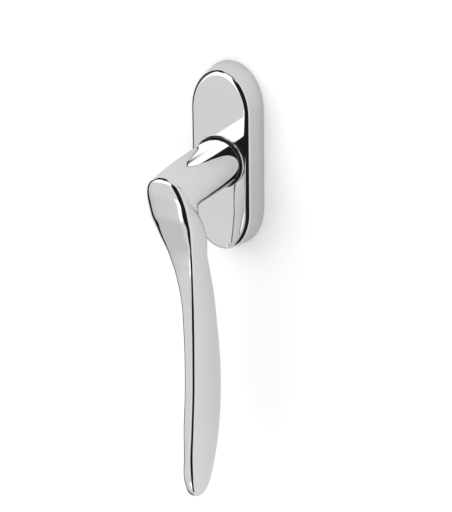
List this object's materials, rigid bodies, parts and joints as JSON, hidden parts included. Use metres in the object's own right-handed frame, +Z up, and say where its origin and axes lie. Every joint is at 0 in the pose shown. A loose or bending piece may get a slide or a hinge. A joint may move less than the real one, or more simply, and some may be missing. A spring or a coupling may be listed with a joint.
{
  "type": "tilt and turn window handle",
  "caption": "Chrome window lever on an oval rose: slim curved grip on a round neck, click-stop works and a square spindle behind.",
  "frame": {"origin": "spindle axis, in the plane where the rose sits on the window sash", "axes": "+Z up, -Y toward the room, +Y into the window along the spindle, +X to the right of a person in the room"},
  "size_m": [0.028, 0.0958, 0.1758],
  "materials": {
    "chrome": "polished chrome plate on cast zinc",
    "cast_zinc": "bare die-cast zinc",
    "zinc_steel": "bright zinc-plated steel",
    "hard_steel": "hardened steel, lightly oiled",
    "spring_steel": "blued spring steel",
    "dark_plastic": "black acetal plastic"
  },
  "bodies": {
    "mounting": {"base_plate": "cast_zinc", "back_plate": "zinc_steel", "neck_bush": "dark_plastic", "thrust_washer": "dark_plastic", "wave_washer": "spring_steel", "fixing_screw_upper": "zinc_steel", "fixing_screw_lower": "zinc_steel", "cover_clip_upper_left": "spring_steel", "cover_clip_upper_right": "spring_steel", "cover_clip_lower_left": "spring_steel", "cover_clip_lower_right": "spring_steel", "plate_rivet_upper": "zinc_steel", "plate_rivet_lower": "zinc_steel", "detent_spring_upper": "spring_steel", "detent_spring_lower": "spring_steel"},
    "handle": {"lever_handle": "chrome", "detent_rotor": "hard_steel", "retaining_ring": "spring_steel", "spindle": "zinc_steel", "spindle_pin": "hard_steel"},
    "cover": {"rose_cover": "chrome", "collar_ring": "chrome"},
    "ball_upper": {"detent_ball_upper": "hard_steel"},
    "ball_lower": {"detent_ball_lower": "hard_steel"}
  },
  "joints": [
    {"name": "handle_turn", "type": "hinge", "parent": "mounting", "child": "handle", "pos_m": [0, 0, 0], "axis": [0, -1, 0], "range_deg": [0, 180]},
    {"name": "cover_lift", "type": "slide", "parent": "mounting", "child": "cover", "axis": [0, -1, 0], "range_m": [0, 0.008]},
    {"name": "ball_upper_click", "type": "slide", "parent": "mounting", "child": "ball_upper", "axis": [0, 0, -1], "range_m": [0, 0.0008], "stiffness_N_per_m": 600, "deforming": ["detent_spring_upper"]},
    {"name": "ball_lower_click", "type": "slide", "parent": "mounting", "child": "ball_lower", "axis": [0, 0, 1], "range_m": [0, 0.0008], "stiffness_N_per_m": 600, "deforming": ["detent_spring_lower"]}
  ]
}
